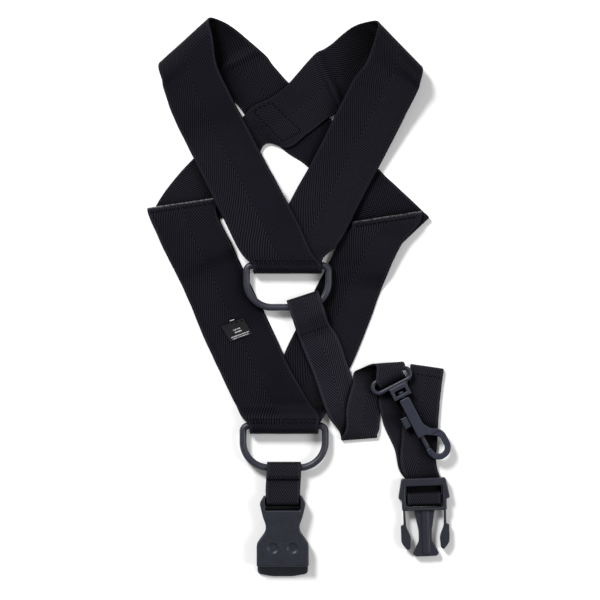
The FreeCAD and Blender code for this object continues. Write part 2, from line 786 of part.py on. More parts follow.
def right_shoulder_stations():
    """Upper ring, right shoulder, down across the back, left side fold, lower ring."""
    upper_x, upper_y = num("upper_ring_x"), num("upper_ring_y")
    lower_x, lower_y = num("lower_ring_x"), num("lower_ring_y")
    left, right = bar_ends(upper_x, RING_LOOP_HALF)
    shoulder = (station((55, 187), (87, 154), 16.8), station((45.5, 197), (77.5, 164), ON_TABLE))
    stations = [station((left, 34), (right, 34), RING_Z - INNER_WRAP)]
    stations += ring_loop(upper_x, upper_y, INNER_WRAP, 180, 0)
    stations += [
        station((-33.9, 26), (17, 26), RING_Z + INNER_WRAP),
        station((-26, 37), (27.3, 36.5), 8.3),
        station((-14, 54), (37.5, 54), 6.6),
        station((-7, 67.5), (38.5, 54.5), 5.6),
        station((6.5, 92), (47.5, 74), 4.2),
        station((30.5, 139), (71.5, 120), 8.5),
        station((41, 158.5), (81, 139), 12),
        station((49, 169), (86, 149), 14),
    ]
    stations += roll_over(*shoulder, side=-1)
    stations += [
        station((12.5, 175.5), (31.5, 133.8), 1.0),
        station((-5.5, 155.5), (23.3, 129.8), 2.5),
        station((-20, 143.5), (5, 116), 2.5),
        station((-35, 136), (-9, 107), 2.5),
        station((-40, 129.5), (-21.5, 110.5), 2.5),
        station((-60.5, 112.5), (-31.5, 85.5), 0.9),
        station((-77, 98.5), (-41.5, 67.5), ON_TABLE),
    ]
    stations += folded((-106, 56.5), (-62, 46), (ON_TABLE, ON_TABLE), (2.5, 2.5), side=1)
    stations += folded((-109.1, 64), (-55.5, 72), (2.5, 2.5), (4.4, 4.4), side=-1)
    stations += [
        station((-101.5, 44), (-59, 63.5), 4.5, 4.9),
        station((-89, 18), (-47.8, 37.5), 1.9, 4.9),
        station((-84.5, 9), (-43.6, 28), ON_TABLE, 1.4),
        station((-66, -34.5), (-23, -14.5), ON_TABLE, 1.0),
        station((-57, -53.5), (-14, -34), 0.9, 2.5),
        station((-48, -72.5), (-5, -53.5), 2.2, 2.7),
        station((-45, -78), (8, -76), 2.9, 2.7),
        station((-39.7, -87.6), (15.2, -87.6), RING_Z + OUTER_WRAP),
    ]
    stations += ring_loop(lower_x, lower_y, OUTER_WRAP, 0, 180)
    left, right = bar_ends(lower_x, RING_LOOP_HALF)
    stations.append(station((left, -87), (right, -87), RING_Z - OUTER_WRAP))
    return stations


def hook_point(across, along):
    """A plan point given in the hook's frame."""
    angle = math.radians(num("hook_angle"))
    x = num("hook_x") + across * math.cos(angle) - along * math.sin(angle)
    y = num("hook_y") + across * math.sin(angle) + along * math.cos(angle)
    return x, y


def plug_point(across, along):
    """A plan point given in the plug's frame."""
    angle = math.radians(num("plug_angle"))
    x = num("plug_x") + across * math.cos(angle) - along * math.sin(angle)
    y = num("plug_y") + across * math.sin(angle) + along * math.cos(angle)
    return x, y


def eye_weave():
    """Stations over the eye's upper bar, down through the eye and under its lower bar."""
    low = num("eye_low")
    depth = num("eye_depth")
    reach = num("eye_wire") / 2 + num("web_thickness") / 2 + 0.2
    tilt = math.asin(2 * reach / depth)
    left = num("eye_shift") - 10.2
    right = num("eye_shift") + 10.2
    over = [(low + depth, num("hook_height") + reach),
            (low + depth - reach * math.sin(tilt), num("hook_height") + reach * math.cos(tilt)),
            (low + reach * math.sin(tilt), num("hook_height") - reach * math.cos(tilt))]
    return [station(hook_point(left, along), hook_point(right, along), height) for along, height in over]


def tether_stations():
    """Upper ring, down to the bottom fold, up and over, through the eye, round the adjuster, tail."""
    loop_radius = 3.4
    second = ON_TABLE + 1.8
    adjuster_z = (num("adjuster_low") + num("adjuster_high")) / 2
    wrap = adjuster_z - ON_TABLE
    turn_y = -num("adjuster_end") + 0.2
    over_bar = adjuster_z + wrap
    stations = [station((-0.8, -27.3), (22, -19.9), RING_Z - loop_radius)]
    stations += around((-7.7, -6.5), (15.3, 1.0), RING_Z, loop_radius, 180, 0, side=-1)
    stations += [
        station((-6.4, -10.3), (16.5, -2.8), 9.4),
        station((-4.6, -15.8), (18.4, -8.3), 8.9, 9.3),
        station((-0.6, -28), (22.6, -20.4), 4.2),
        station((1.2, -33), (26.2, -25.2), second),
        station((11, -57.5), (35.5, -49), second),
        station((21, -85.5), (44, -76.5), 6.8, 1.0),
    ]
    stations += folded((30.5, -103.5), (56.5, -101.5), (ON_TABLE, ON_TABLE), (2.8, 2.8), side=1)
    stations += [
        station((32.5, -98), (57.5, -97), 4.6, second),
        station((34, -80), (59, -81.5), 5.4, 0.9),
        station((38.5, -62.5), (64.5, -65.5), 4.0, ON_TABLE),
    ]
    stations += roll_over(station((41, -53), (66, -54.5), 2.4, ON_TABLE), station((55.8, -52), (76.5, -50.8), 9.6),
                          side=-1)
    stations += eye_weave()
    stations += [
        station((57.5, -70.9), (77.3, -61.8), 3.1, 1.3),
        station((57.5, -77), (77.8, -72), 3.3, 0.9),
        station((58.9, -83.5), (79.6, -79.5), 3.0, ON_TABLE),
        station((60.5, -90.5), (81.5, -87), ON_TABLE),
        station((69, -110), (93, -108), ON_TABLE),
        station((73.5, -127), (99.3, -126), ON_TABLE),
        station(plug_point(-NARROW_HALF, -1.5), plug_point(NARROW_HALF, -1.5), ON_TABLE),
    ]
    stations += around(plug_point(-NARROW_HALF, turn_y), plug_point(NARROW_HALF, turn_y), adjuster_z, wrap,
                       180, 0)
    stations += [
        station(plug_point(-NARROW_HALF, -11.9), plug_point(NARROW_HALF, -11.9), over_bar),
        station(plug_point(-NARROW_HALF, -9.4), plug_point(NARROW_HALF, -9.4), second),
        station(plug_point(-NARROW_HALF, -1), plug_point(NARROW_HALF, -1), second),
        station((74.3, -125), (99.8, -124), second),
        station((74, -98), (100, -98), 2.85, second),
    ]
    stations += folded((80.5, -48), (104.5, -51.5), (second, second), (ON_TABLE, ON_TABLE), side=-1)
    stations.append(station((79.6, -56), (103.4, -59.5), ON_TABLE))
    return stations


def link_web_stations():
    """A short loop from the lower ring's bow to the socket's bar, stitched to itself in front."""
    ring_y = num("lower_ring_y") - num("ring_depth")
    ring_left, ring_right = bar_ends(num("lower_ring_x"), NARROW_HALF)
    bar_left, bar_right = bar_ends(num("socket_x"), NARROW_HALF)
    bar_y = num("socket_y") - num("socket_bar_at")
    bar_wrap = num("socket_bar_radius") + num("web_gap") + num("web_thickness") / 2
    front = num("socket_bar_height") + bar_wrap
    stations = [station((-23.6, -130.5), (1.2, -130.5), RING_Z + INNER_WRAP)]
    stations += around((ring_left, ring_y), (ring_right, ring_y), RING_Z, INNER_WRAP, 0, 180, side=-1)
    stations += around((bar_left, bar_y), (bar_right, bar_y), num("socket_bar_height"), bar_wrap, 180, 0)
    stations.append(station((-23.5, -132), (1.1, -132), front))
    stations.append(station((-23.2, -126.2), (1.5, -126.2), RING_Z + INNER_WRAP - 1.66))
    return stations


# ---------------------------------------------------------------- label and stitches


def make_label():
    """The small satin size tab on the lower left strap."""
    label = doc.addObject("Part::Box", "size_label")
    label.Label = "size_label"
    bind(label, "Length", dim["label_width"])
    bind(label, "Width", dim["label_length"])
    bind(label, "Height", dim["label_thickness"])
    angle = math.radians(num("label_angle"))
    back_x = num("label_width") / 2 * math.cos(angle) - num("label_length") / 2 * math.sin(angle)
    back_y = num("label_width") / 2 * math.sin(angle) + num("label_length") / 2 * math.cos(angle)
    place(label, dim["label_x"] - back_x, dim["label_y"] - back_y, dim["label_height"], dim["label_angle"])
    return label


def stitch_row(start, end):
    """A row of short raised threads that lies just above a surface, between two points on it."""
    start = Vector(*start)
    end = Vector(*end)
    count = max(1, round((end - start).Length / num("stitch_pitch")))
    along = (end - start).normalize()
    turn = FreeCAD.Rotation(Vector(1, 0, 0), along)
    threads = []
    for i in range(count):
        middle = start + (end - start) * ((i + 0.5) / count)
        corner = Vector(-num("stitch_length") / 2, -num("stitch_width") / 2, num("stitch_lift"))
        thread = Part.makeBox(num("stitch_length"), num("stitch_width"), num("stitch_height"), corner)
        thread.Placement = FreeCAD.Placement(middle, turn)
        threads.append(thread)
    return threads


def make_stitches(name, rows):
    """One sewn place: all its rows of threads as a group of separate solids."""
    stitches = doc.addObject("Part::Feature", name)
    stitches.Label = name
    threads = []
    for start, end in rows:
        threads += stitch_row(start, end)
    stitches.Shape = Part.makeCompound(threads)
    return stitches


HALF_WEB = num("web_thickness") / 2
OUTER_TOP = RING_Z + OUTER_WRAP + HALF_WEB
CROSS_TOP = 2.5 + HALF_WEB
TAIL_TOP = ON_TABLE + 1.8 + HALF_WEB
STEP_TOP = RING_Z + INNER_WRAP + HALF_WEB
LABEL_TOP = num("label_height") + num("label_thickness")

STITCHES = {
    "upper_ring_stitches": [
        ((-32, 25.7, OUTER_TOP), (12, 25.7, OUTER_TOP)),
        ((-31, 23.6, OUTER_TOP), (13, 23.6, OUTER_TOP)),
    ],
    "lower_ring_stitches": [
        ((-34, -88.4, OUTER_TOP), (12.5, -88.4, OUTER_TOP)),
        ((-34, -90.6, OUTER_TOP), (12.5, -90.6, OUTER_TOP)),
    ],
    "back_cross_stitches": [
        ((-20, 140, CROSS_TOP), (-32.5, 133.5, CROSS_TOP)),
        ((-32.5, 133.5, CROSS_TOP), (-11.5, 111.5, CROSS_TOP)),
        ((-11.5, 111.5, CROSS_TOP), (1.5, 119.5, CROSS_TOP)),
        ((1.5, 119.5, CROSS_TOP), (-20, 140, CROSS_TOP)),
    ],
    "tether_loop_stitches": [((0.8, -27.5, 4.2 + HALF_WEB + 0.15), (21.3, -20.8, 4.2 + HALF_WEB + 0.15))],
    "tether_hem_stitches": [((81, -55, TAIL_TOP), (102.8, -58.2, TAIL_TOP))],
    "link_web_stitches": [((-22.5, -128.8, STEP_TOP), (0.2, -128.8, STEP_TOP))],
    "label_stitches": [((-53.2, -20.6, LABEL_TOP), (-39.5, -16.7, LABEL_TOP))],
    "left_side_stitches": [((-106.5, 60.5, 5.4), (-60, 67.5, 5.4))],
    "right_side_stitches": [((40.5, 50.5, 5.3), (84, 57.3, 7.2))],
}


def export_parts():
    """Check every object, then write each piece to its own file."""
    doc.recompute()
    for item in doc.Objects:
        assert not {"Invalid", "Error"} & set(item.State), f"{item.Name}: {item.State}"
    pieces = [item for item in doc.Objects if item.Label in PIECES]
    assert len(pieces) == len(PIECES), "a piece is missing or named twice"
    os.makedirs("parts", exist_ok=True)
    for item in pieces:
        shape = item.Shape
        assert not shape.isNull() and shape.isValid(), f"{item.Label} has no valid shape"
        shape.exportStep(f"parts/{item.Label}.step")
        print(f"{item.Label}: {shape.Volume:.1f} mm3, {len(shape.Solids)} solids")


make_d_ring("upper_d_ring", dim["upper_ring_x"], dim["upper_ring_y"])
make_d_ring("lower_d_ring", dim["lower_ring_x"], dim["lower_ring_y"])
for piece in (make_swivel_eye(), make_hook(), make_gate(), make_gate_spring()):
    place(piece, dim["hook_x"], dim["hook_y"], dim["hook_height"], dim["hook_angle"])
make_plug_frame()
make_prong("buckle_left_prong", -1)
make_prong("buckle_right_prong", 1)
make_socket()
make_web("left_shoulder_strap", left_shoulder_stations())
make_web("right_shoulder_strap", right_shoulder_stations())
make_web("tether_strap", tether_stations())
make_web("socket_link_web", link_web_stations())
make_label()
for stitch_name, stitch_rows in STITCHES.items():
    make_stitches(stitch_name, stitch_rows)

PIECES = ["upper_d_ring", "lower_d_ring", "snap_swivel_eye", "snap_hook_body", "snap_gate_plunger",
          "snap_gate_spring", "buckle_plug_frame", "buckle_left_prong", "buckle_right_prong",
          "buckle_socket", "left_shoulder_strap", "right_shoulder_strap", "tether_strap",
          "socket_link_web", "size_label"] + list(STITCHES)
export_parts()
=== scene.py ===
"""A black webbing harness lying open on a pale floor.

Two wide shoulder straps cross at the back and meet at two D-rings, a narrow tether carries a
swivelling snap hook and the plug of a buckle, and the buckle's socket hangs from the lower ring.
"""

import math

import bmesh
import bpy
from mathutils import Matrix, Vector, noise


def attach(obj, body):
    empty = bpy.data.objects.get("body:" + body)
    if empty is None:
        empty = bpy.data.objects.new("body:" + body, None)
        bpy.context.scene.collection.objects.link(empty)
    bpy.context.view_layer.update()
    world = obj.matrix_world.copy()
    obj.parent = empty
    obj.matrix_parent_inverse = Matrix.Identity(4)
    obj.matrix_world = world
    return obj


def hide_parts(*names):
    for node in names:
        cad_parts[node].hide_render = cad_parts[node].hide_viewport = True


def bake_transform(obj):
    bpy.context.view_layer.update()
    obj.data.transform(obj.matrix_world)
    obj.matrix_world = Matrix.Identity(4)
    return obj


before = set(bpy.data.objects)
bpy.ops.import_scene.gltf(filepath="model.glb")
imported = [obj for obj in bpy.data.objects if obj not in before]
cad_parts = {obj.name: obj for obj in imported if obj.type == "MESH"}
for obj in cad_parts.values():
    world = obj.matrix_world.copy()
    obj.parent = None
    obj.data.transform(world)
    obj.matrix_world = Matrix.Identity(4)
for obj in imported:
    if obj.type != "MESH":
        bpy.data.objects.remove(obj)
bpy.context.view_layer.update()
MM = 0.001

# Sizes of the webbing, in metres
WEB_THICKNESS = 1.6 * MM
WIDE_WEB = 48 * MM
NARROW_WEB = 25 * MM


# ---------------------------------------------------------------- routes of the webbing
# A station is a line across a web, as its left and right ends. Plan points and heights are
# given in millimetres, and the line that station() returns is in metres.

# Heights of a web's middle surface, on the floor and on one web that lies there
FLOOR = WEB_THICKNESS / MM / 2
SECOND = FLOOR + 1.8

# Height of the D-rings, and radii of the webs' middle surfaces round their bars and bows
RING_Z = 5.9
INNER = 3.45
OUTER = 5.1
BOW = 3.4

# Half widths of the webs where they lie straight in a ring or in the buckle
LOOP_HALF = 24.6
NARROW_HALF = 12.3

# Middles of the rings' bars, and places and turns of the hook and the buckle's plug
UPPER_BAR = (-8, 22.5)
LOWER_BAR = (-10.5, -92.5)
HOOK_PLACE, HOOK_TURN = (75.5, -73), 27.4
PLUG_PLACE, PLUG_TURN = (89.5, -130), 2


def station(left, right, height, right_height=None):
    if right_height is None:
        right_height = height
    return Vector((*left, height)) * MM, Vector((*right, right_height)) * MM


def mixed(first, last, share):
    return tuple(start.lerp(end, share) for start, end in zip(first, last))


def outward_of(left, right, side):
    """The level direction square to a line across a web: towards -Y of a +X line if side is 1."""
    across = right - left
    return Vector((across.y, -across.x, 0)).normalized() * side


def around(left, right, height, radius, begin, finish, side=1, steps=10):
    """Stations round a straight bar: 0 degrees is above it, 90 outward of it, 180 below it."""
    left = Vector((*left, height)) * MM
    right = Vector((*right, height)) * MM
    outward = outward_of(left, right, side)
    turned = []
    for i in range(steps + 1):
        angle = math.radians(begin + (finish - begin) * i / steps)
        shift = outward * (radius * MM * math.sin(angle))
        shift.z = radius * MM * math.cos(angle)
        turned.append((left + shift, right + shift))
    return turned


def roll_over(first, last, side, steps=10, lead=1):
    """Stations of a half turn between two stations, whose heights differ by its diameter.

    A lead over 1 brings the turn's plan place near its end early on, which leaves its hollow in view.
    """
    outward = outward_of(*mixed(first, last, 0.5), side)
    turned = []
    for i in range(steps + 1):
        share = i / steps
        angle = math.pi * (share - 0.5)
        pair = []
        for start, end in zip(first, last):
            flat = start.lerp(end, 1 - (1 - share) ** lead)
            radius = (end.z - start.z) / 2
            point = Vector((flat.x, flat.y, (start.z + end.z) / 2 + radius * math.sin(angle)))
            pair.append(point + outward * (abs(radius) * math.cos(angle)))
        turned.append(tuple(pair))
    return turned


def folded(left, right, before, after, side, steps=8):
    """Stations of a fold whose outer crease lies on a plan line, from and to the given heights."""
    outward = outward_of(Vector((*left, 0)), Vector((*right, 0)), side)
    pairs = []
    for heights in (before, after):
        pair = []
        for point, height, low, high in zip((left, right), heights, before, after):
            inset = abs(high - low) / 2 * MM + WEB_THICKNESS / 2
            pair.append(Vector((*point, height)) * MM - outward * inset)
        pairs.append(tuple(pair))
    return roll_over(*pairs, side, steps)


def turned_point(origin, degrees, across, along):
    """A plan point given in a frame that is turned about its origin."""
    angle = math.radians(degrees)
    x = origin[0] + across * math.cos(angle) - along * math.sin(angle)
    y = origin[1] + across * math.sin(angle) + along * math.cos(angle)
    return x, y


def hook_point(across, along):
    return turned_point(HOOK_PLACE, HOOK_TURN, across, along)


def plug_point(across, along):
    return turned_point(PLUG_PLACE, PLUG_TURN, across, along)


def narrow_line(x, y):
    """The ends of a level line across a narrow web, in plan."""
    return (x - NARROW_HALF, y), (x + NARROW_HALF, y)


def plug_line(along, height):
    """A station of the tether where it lies straight in the buckle's plug."""
    return station(plug_point(-NARROW_HALF, along), plug_point(NARROW_HALF, along), height)


def ring_loop(bar, wrap, begin, finish):
    """A shoulder strap's stations round a D-ring's bar."""
    x, y = bar
    return around((x - LOOP_HALF, y), (x + LOOP_HALF, y), RING_Z, wrap, begin, finish)


def left_shoulder_route():
    """Upper ring, left shoulder, down across the back, right side fold, lower ring."""
    top = RING_Z + OUTER
    shoulder = (station((-98.5, 157.5), (-62.5, 190), 16.8), station((-90, 165), (-54, 198), FLOOR))
    route = [station((-32.6, 34), (16.6, 34), RING_Z - OUTER)]
    route += ring_loop(UPPER_BAR, OUTER, 180, 0)
    route += [
        station((-37.2, 26.5), (13, 26.5), top),
        station((-53, 54), (-0.5, 54), 8.5),
        station((-65.5, 79), (-21.5, 93), 6.4, 6.2),
        station((-79, 106.5), (-38, 124.5), 5.0, 4.8),
        station((-91.5, 133), (-50, 147.5), 10.5),
        station((-97, 150.5), (-59, 168), 14),
    ]
    route += roll_over(*shoulder, side=-1)
    route += [
        station((-76, 158), (-33, 182), 1.2, 1.0),
        station((-72, 156), (-28.5, 178), 3.6, 2.6),
        station((-68, 153.3), (-25, 175), 1.6, 1.2),
        station((-45, 139), (-17, 165), FLOOR),
        station((-38.5, 130.5), (-8.5, 155.5), FLOOR),
        station((-23.5, 117.5), (9.5, 141), FLOOR),
        station((-10, 105), (24.5, 126.6), FLOOR),
        station((6.5, 93.5), (37, 114), FLOOR),
        station((23.5, 60), (57.5, 92), FLOOR),
    ]
    route += folded((60, 24.5), (94, 57), (FLOOR, FLOOR), (3.2, 5.0), side=1)
    route += folded((37.5, 54), (88.5, 62), (2.5, 3.2), (4.4, 6.2), side=-1)
    route += [
        station((30.5, 42.5), (76, 41), 3.8, 6.8),
        station((24, 29.5), (69.5, 29.5), 2.8, 6.4),
        station((19.6, 20.5), (65, 19), 0.9, 5.2),
        station((13.5, 9), (58.5, 3), FLOOR),
        station((8, -2), (53.5, -11), FLOOR),
        station((-7.5, -34.5), (39, -47), FLOOR),
        station((-20.5, -62), (32, -60.5), FLOOR),
        station((-31, -78.5), (23, -77.5), 0.9),
        station((-36, -89.2), (16, -89.2), RING_Z + INNER),
    ]
    route += ring_loop(LOWER_BAR, INNER, 0, 180)
    route.append(station((-35.1, -87), (14.1, -87), RING_Z - INNER))
    return route


def right_shoulder_route():
    """Upper ring, right shoulder, down across the back, left side fold, lower ring."""
    shoulder = (station((55, 187), (87, 154), 16.8), station((45.5, 197), (77.5, 164), FLOOR))
    route = [station((-32.6, 34), (16.6, 34), RING_Z - INNER)]
    route += ring_loop(UPPER_BAR, INNER, 180, 0)
    route += [
        station((-33.9, 26), (17, 26), RING_Z + INNER),
        station((-26, 37), (27.3, 36.5), 8.3),
        station((-14, 54), (37.5, 54), 6.6),
        station((-7, 67.5), (40.4, 60), 5.6),
        station((6.5, 92), (47.5, 74), 4.2),
        station((30.5, 139), (71.5, 120), 8.5),
        station((41, 158.5), (81, 139), 12),
        station((49, 169), (86, 149), 14),
    ]
    route += roll_over(*shoulder, side=-1)
    route += [
        station((17.5, 178), (37, 136), 1.2),
        station((12.5, 175.5), (31.5, 133.8), 3.0, 3.8),
        station((8, 171), (29.2, 132.4), 1.8, 2.0),
        station((-5.5, 155.5), (23.3, 129.8), 2.5),
        station((-20, 143.5), (5, 116), 2.5),
        station((-35, 136), (-9, 107), 2.5),
        station((-40, 129.5), (-21.5, 110.5), 2.5),
        station((-60.5, 112.5), (-31.5, 85.5), 0.9),
        station((-77, 98.5), (-41.5, 67.5), FLOOR),
    ]
    route += folded((-106, 56.5), (-62, 46), (FLOOR, FLOOR), (2.5, 2.5), side=1)
    route += folded((-109.1, 64), (-55.5, 72), (2.5, 2.5), (4.4, 4.4), side=-1)
    route += [
        station((-101.5, 44), (-59, 63.5), 4.5, 4.9),
        station((-89, 18), (-47.8, 37.5), 1.9, 4.9),
        station((-84.5, 9), (-43.6, 28), FLOOR, 1.4),
        station((-66, -34.5), (-23, -14.5), FLOOR, 1.0),
        station((-57, -53.5), (-14, -34), 0.9, 2.5),
        station((-48, -72.5), (-5, -53.5), 2.2, 2.7),
        station((-45, -78), (8, -76), 2.9, 2.7),
        station((-39.7, -87.6), (15.2, -87.6), RING_Z + OUTER),
    ]
    route += ring_loop(LOWER_BAR, OUTER, 0, 180)
    route.append(station((-35.1, -87), (14.1, -87), RING_Z - OUTER))
    return route


def eye_weave():
    """Over the eye's upper bar, down through the eye and under its lower bar.

    The bars lie level, depth apart, and the web's middle surface keeps reach away from each.
    """
    low, depth, reach, height = 11.55, 8.3, 2.6, 7.0
    left_edge, right_edge = -12.2, 8.2
    tilt = math.asin(2 * reach / depth)
    over = [(low + depth, height + reach),
            (low + depth - reach * math.sin(tilt), height + reach * math.cos(tilt)),
            (low + reach * math.sin(tilt), height - reach * math.cos(tilt))]
    return [station(hook_point(left_edge, along), hook_point(right_edge, along), z)
            for along, z in over]


def tether_routes():
    """Upper ring, down to the bottom fold, up and over, through the eye, round the adjuster, tail.

    The web is in two lengths that meet at the edge of its bottom fold.
    """
    adjuster_z = 3.35
    wrap = adjuster_z - FLOOR
    over_bar = adjuster_z + wrap
    route = [station((-0.8, -27.3), (22, -19.9), RING_Z - BOW)]
    route += around((-7.7, -6.5), (15.3, 1.0), RING_Z, BOW, 180, 0, side=-1)
    route += [
        station((-6.4, -10.3), (16.5, -2.8), 9.4),
        station((-4.6, -15.8), (18.4, -8.3), 8.9, 9.3),
        station((-0.6, -28), (22.6, -20.4), 4.2),
        station((1.2, -33), (26.2, -25.2), SECOND),
        station((11, -57.5), (35.5, -49), SECOND),
        station((21, -85.5), (44, -76.5), 6.8, 1.0),
    ]
    fold = folded((30.5, -103.5), (56.5, -101.5), (FLOOR, FLOOR), (2.8, 2.8), side=1)
    edge = len(fold) // 2
    ring_end = route + fold[:edge + 1]
    route = fold[edge:]
    route += [
        station((32.5, -98), (57.5, -97), 4.6, SECOND),
        station((34, -80), (59, -81.5), 5.4, 0.9),
        station((38.5, -62.5), (64.5, -65.5), 4.0, FLOOR),
    ]
    standing_loop = (station((41, -53), (66, -54.5), 2.4, FLOOR), station((55.8, -52), (76.5, -50.8), 9.6))
    route += roll_over(*standing_loop, side=-1, steps=14, lead=2.4)
    route += eye_weave()
    route += [
        station((57.5, -70.9), (77.3, -61.8), 3.1, 1.3),
        station((57.5, -77), (77.8, -72), 3.3, 0.9),
        station((58.9, -83.5), (79.6, -79.5), 3.0, FLOOR),
        station((60.5, -90.5), (81.5, -87), FLOOR),
        station((69, -110), (93, -108), FLOOR),
        station((73.5, -127), (99.3, -126), FLOOR),
        plug_line(-1.5, FLOOR),
    ]
    adjuster_bar = (plug_point(-NARROW_HALF, -17.2), plug_point(NARROW_HALF, -17.2))
    route += around(*adjuster_bar, adjuster_z, wrap, 180, 0)
    route += [
        plug_line(-11.9, over_bar),
        plug_line(-9.4, SECOND),
        plug_line(-1, SECOND),
        station((74.3, -125), (99.8, -124), SECOND),
        station((74, -98), (100, -98), 2.85, SECOND),
    ]
    route += folded((80.5, -48), (104.5, -51.5), (SECOND, SECOND), (FLOOR, FLOOR), side=-1)
    route.append(station((79.6, -56), (103.4, -59.5), FLOOR))
    return ring_end, route


def link_route():
    """From the front of the lower ring's bow, round it, round the socket's bar and back up."""
    bow = narrow_line(-10.5, -122.5)
    bar = narrow_line(-11.5, -147)
    bar_z, bar_wrap, layer = 5.2, 2.55, 1.66
    route = [station((-23.6, -130.5), (1.2, -130.5), RING_Z + INNER)]
    route += around(*bow, RING_Z, INNER, 0, 180, side=-1)
    route += around(*bar, bar_z, bar_wrap, 180, 0)
    route.append(station((-23.5, -132), (1.1, -132), bar_z + bar_wrap))
    route.append(station((-23.2, -126.2), (1.5, -126.2), RING_Z + INNER - layer))
    return route


# ---------------------------------------------------------------- meshes


def new_piece(name, made):
    mesh = bpy.data.meshes.new(name)
    made.to_mesh(mesh)
    made.free()
    piece = bpy.data.objects.new(name, mesh)
    bpy.context.scene.collection.objects.link(piece)
    return piece


def closed_piece(name, made):
    """A new piece of a closed mesh, whose faces are turned outward."""
    bmesh.ops.recalc_face_normals(made, faces=made.faces)
    return new_piece(name, made)


def skin_between(made, rings):
    """Faces from each ring of points to the next."""
    size = len(rings[0])
    for near, far in zip(rings, rings[1:]):
        for k in range(size):
            made.faces.new((near[k], near[(k + 1) % size], far[(k + 1) % size], far[k]))


# ---------------------------------------------------------------- webbing as a mesh


def chord_slopes(knots, values):
    """Slopes at each knot of the parabola through it and its neighbours."""
    steps = [b - a for a, b in zip(knots, knots[1:])]
    slopes = [(b - a) / step for a, b, step in zip(values, values[1:], steps)]
    inner = [(slopes[i - 1] * steps[i] + slopes[i] * steps[i - 1]) / (steps[i - 1] + steps[i])
             for i in range(1, len(slopes))]
    return [slopes[0], *inner, slopes[-1]]


def level_slopes(knots, heights):
    """Slopes at each knot that never carry a height past its neighbours."""
    steps = [b - a for a, b in zip(knots, knots[1:])]
    slopes = [(b - a) / step for a, b, step in zip(heights, heights[1:], steps)]
    inner = []
    for i in range(1, len(slopes)):
        before, after = slopes[i - 1], slopes[i]
        if before * after <= 0:
            inner.append(0)
            continue
        near, far = 2 * steps[i] + steps[i - 1], steps[i] + 2 * steps[i - 1]
        inner.append((near + far) / (near / before + far / after))
    return [slopes[0], *inner, slopes[-1]]


def hermite(start, end, start_slope, end_slope, step, share):
    square, cube = share**2, share**3
    return (start * (2 * cube - 3 * square + 1) + start_slope * (step * (cube - 2 * square + share))
            + end * (3 * square - 2 * cube) + end_slope * (step * (cube - square)))


def smooth_rows(route, row_gap):
    """Lines across the web along a smooth curve through its stations."""
    least_gap = 0.05 * MM
    knots = [0]
    for near, far in zip(route, route[1:]):
        gap = sum((b - a).length for a, b in zip(near, far)) / 2
        knots.append(knots[-1] + max(gap, least_gap))
    edges = []
    for edge in (0, 1):
        points = [pair[edge] for pair in route]
        plan = [Vector((p.x, p.y, 0)) for p in points]
        heights = [p.z for p in points]
        edges.append((plan, chord_slopes(knots, plan), heights, level_slopes(knots, heights)))
    rows = []
    for i in range(len(route) - 1):
        step = knots[i + 1] - knots[i]
        count = max(2, math.ceil(step / row_gap))
        last = i == len(route) - 2
        for j in range(count + 1 if last else count):
            share = j / count
            row = []
            for plan, plan_slopes, heights, rises in edges:
                point = hermite(plan[i], plan[i + 1], plan_slopes[i], plan_slopes[i + 1], step, share)
                point.z = hermite(heights[i], heights[i + 1], rises[i], rises[i + 1], step, share)
                row.append(point)
            rows.append(tuple(row))
    return rows


def web_normals(rows, i):
    """The web's upward directions at its two edges.

    Where an edge turns back on itself, the middle's direction serves.
    """
    before = rows[max(i - 1, 0)]
    after = rows[min(i + 1, len(rows) - 1)]
    across = rows[i][1] - rows[i][0]
    middle = across.cross(after[0] + after[1] - before[0] - before[1]).normalized()
    normals = []
    for edge in (0, 1):
        own = across.cross(after[edge] - before[edge]).normalized()
        normals.append(own if own.dot(middle) > 0.6 else middle)
    return normals


def section_profile(width):
    """Places round the web's section, each with its share of the full half thickness.

    A place runs from 0 to 1 across the web. The list goes over the web from its left edge and back
    below it, where the shares are negative. A selvedge is a rounded bead, a little thicker than
    the web beside it.
    """
    bead = [(0.25 * MM, 0.62), (0.7 * MM, 0.95), (1.3 * MM, 1.0), (1.9 * MM, 0.86)]
    columns, thinner = 12, 0.9
    left = [(place / width, share) for place, share in bead]
    right = [(1 - place, share) for place, share in reversed(left)]
    inset = 3.2 * MM / width
    middle = [(inset + (1 - 2 * inset) * i / columns, thinner) for i in range(columns + 1)]
    above = left + middle + right
    below = [(place, -share) for place, share in reversed(above)]
    return [(0, 0), *above, (1, 0), *below]


def distance_to(spot, middles, distances):
    """How far along the web its middle comes nearest to a spot given in millimetres."""
    nearest = min(range(len(middles)), key=lambda i: (middles[i] - Vector(spot) * MM).length)
    return distances[nearest]


def web_point(share, thickness, row, normals, along, seed):
    """A point on the web's skin, which wavers a little, as woven cloth does."""
    most_swell, swell_length = 0.10 * MM, 26 * MM
    most_stray, stray_length = 0.22 * MM, 11 * MM
    least_height = 0.02 * MM
    left, right = row
    normal = normals[0].lerp(normals[1], share).normalized()
    across = (right - left).normalized()
    swell = noise.noise(Vector((share * 3 + seed, along / swell_length, seed))) * most_swell
    stray = noise.noise(Vector((round(share) * 9 + seed, along / stray_length, 5))) * most_stray
    point = left.lerp(right, share) + across * stray * abs(2 * share - 1) ** 6
    point += normal * (thickness * WEB_THICKNESS / 2 + swell)
    point.z = max(point.z, least_height)
    return point


def close_end(made, ring):
    """Faces across one end of the web, between its upper and lower skin."""
    size = len(ring)
    half = size // 2
    made.faces.new((ring[0], ring[1], ring[-1]))
    for k in range(2, half):
        made.faces.new((ring[k - 1], ring[k], ring[size - k], ring[size - k + 1]))
    made.faces.new((ring[half - 1], ring[half], ring[half + 1]))


